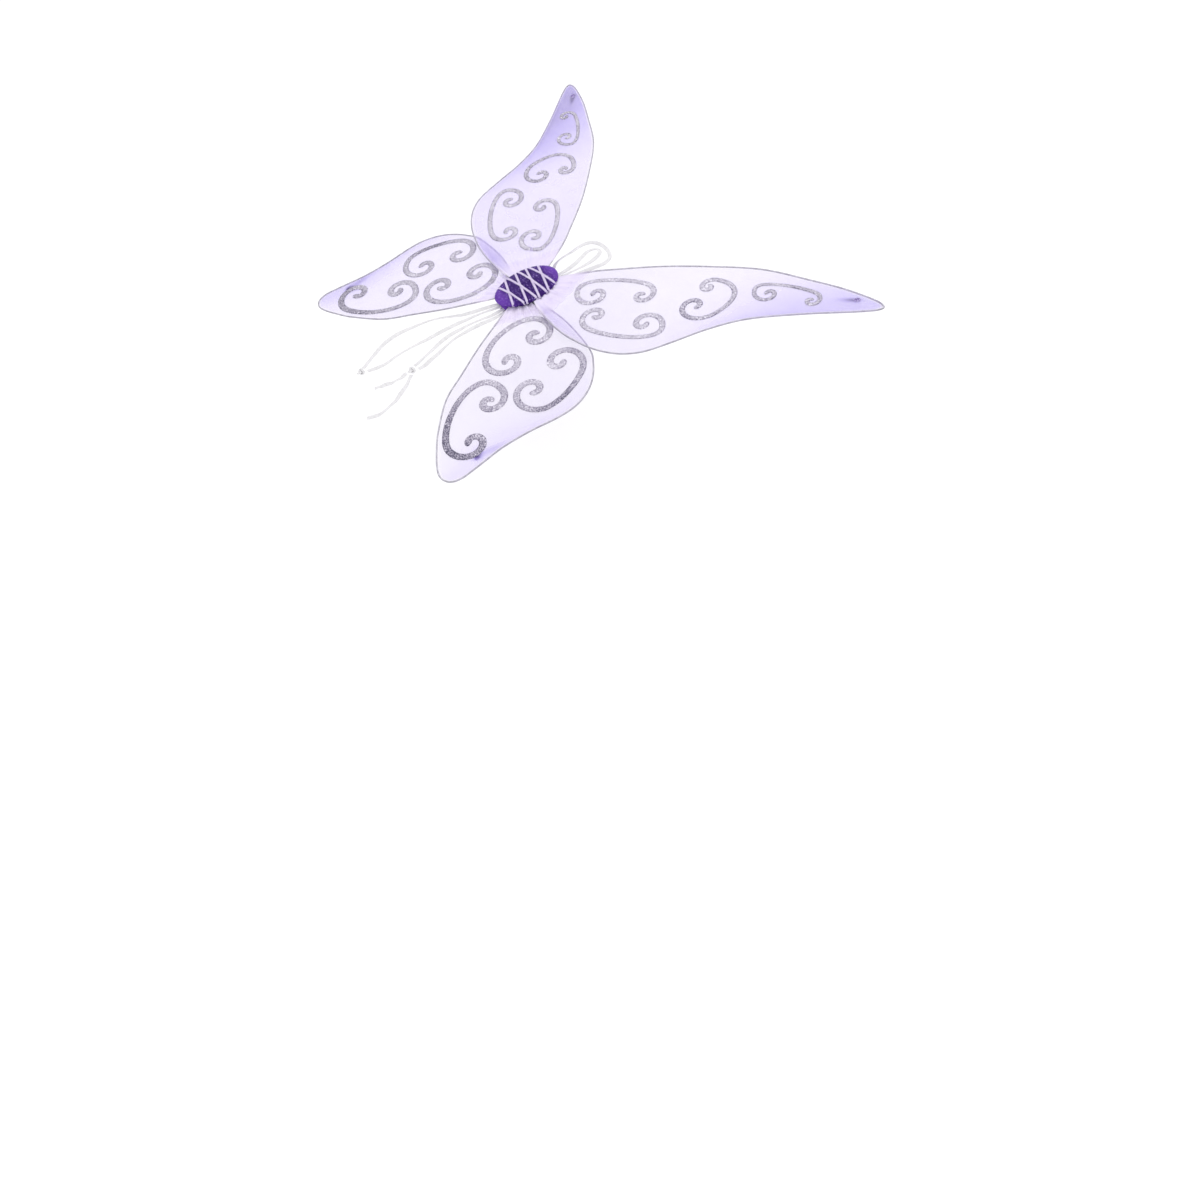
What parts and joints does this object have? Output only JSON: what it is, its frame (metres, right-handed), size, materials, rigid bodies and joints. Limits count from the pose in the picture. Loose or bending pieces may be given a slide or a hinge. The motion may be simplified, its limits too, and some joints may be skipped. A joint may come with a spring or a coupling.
{
  "type": "costume fairy wings",
  "caption": "Sheer lilac fairy wings on wire frames with glitter scrolls, set in a laced oval pad with white elastic shoulder loops.",
  "frame": {"origin": "centre of the pad's flat back face", "axes": "+Z out of the pad's laced front, +Y from the lower wings to the upper wings, +X towards the right pair of wings"},
  "size_m": [0.7136, 0.5494, 0.0294],
  "materials": {
    "felt": "matte felt",
    "foam": "soft foam under satin",
    "card": "plain board",
    "satin": "dark purple satin with a fine glitter",
    "webbing": "woven tape",
    "lacing_ribbon": "lilac satin ribbon",
    "stem_wire": "plain drawn wire",
    "frame_wire": "plain drawn wire under nylon",
    "nylon": "sheer stretched nylon",
    "nylon_root": "sheer nylon gathered in folds",
    "nylon_tip": "nylon drawn together with thread",
    "glitter": "silver grey glitter glue",
    "elastic": "flat woven elastic",
    "elastic_knot": "flat woven elastic, knotted"
  },
  "bodies": {
    "pad": {"pad_back": "felt", "pad_core": "foam", "pad_card": "card", "pad_cover": "satin", "strap_stay_top": "webbing", "strap_stay_bottom": "webbing", "lacing_under": "lacing_ribbon", "lacing_over": "lacing_ribbon", "stem_upper_right_lead": "stem_wire", "stem_upper_right_trail": "stem_wire", "stem_upper_left_lead": "stem_wire", "stem_upper_left_trail": "stem_wire", "stem_lower_right_lead": "stem_wire", "stem_lower_right_trail": "stem_wire", "stem_lower_left_lead": "stem_wire", "stem_lower_left_trail": "stem_wire", "root_gather_upper_right": "nylon_root", "root_gather_upper_left": "nylon_root", "root_gather_lower_right": "nylon_root", "root_gather_lower_left": "nylon_root", "strap_top_outer": "elastic", "strap_top_inner": "elastic", "strap_left_outer": "elastic", "strap_left_inner": "elastic", "strap_right_inner": "elastic", "strap_right_outer": "elastic", "strap_tail_short": "elastic", "strap_tail_long": "elastic", "knot_left": "elastic_knot", "knot_right": "elastic_knot"},
    "upper_right_wing": {"frame_upper_right": "frame_wire", "nylon_upper_right": "nylon", "tip_gather_upper_right": "nylon_tip", "scroll_upper_right_1": "glitter", "scroll_upper_right_2": "glitter", "scroll_upper_right_3": "glitter", "scroll_upper_right_4": "glitter"},
    "upper_left_wing": {"frame_upper_left": "frame_wire", "nylon_upper_left": "nylon", "tip_gather_upper_left": "nylon_tip", "scroll_upper_left_1": "glitter", "scroll_upper_left_2": "glitter", "scroll_upper_left_3": "glitter", "scroll_upper_left_4": "glitter"},
    "lower_right_wing": {"frame_lower_right": "frame_wire", "nylon_lower_right": "nylon", "tip_gather_lower_right": "nylon_tip", "scroll_lower_right_1": "glitter", "scroll_lower_right_2": "glitter", "scroll_lower_right_3": "glitter"},
    "lower_left_wing": {"frame_lower_left": "frame_wire", "nylon_lower_left": "nylon", "tip_gather_lower_left": "nylon_tip", "scroll_lower_left_1": "glitter", "scroll_lower_left_2": "glitter", "scroll_lower_left_3": "glitter"}
  },
  "joints": [
    {"name": "upper_right_bend", "type": "hinge", "parent": "pad", "child": "upper_right_wing", "pos_m": [0.03471, 0.01128, 0.0135], "axis": [0.309, -0.9511, 0], "range_deg": [0, 45]},
    {"name": "upper_left_bend", "type": "hinge", "parent": "pad", "child": "upper_left_wing", "pos_m": [-0.03471, 0.01128, 0.0135], "axis": [0.309, 0.9511, 0], "range_deg": [0, 45]},
    {"name": "lower_right_bend", "type": "hinge", "parent": "pad", "child": "lower_right_wing", "pos_m": [0.03408, -0.01308, 0.01], "axis": [-0.3584, -0.9336, 0], "range_deg": [-40, 0]},
    {"name": "lower_left_bend", "type": "hinge", "parent": "pad", "child": "lower_left_wing", "pos_m": [-0.03408, -0.01308, 0.01], "axis": [-0.3584, 0.9336, 0], "range_deg": [-40, 0]}
  ]
}
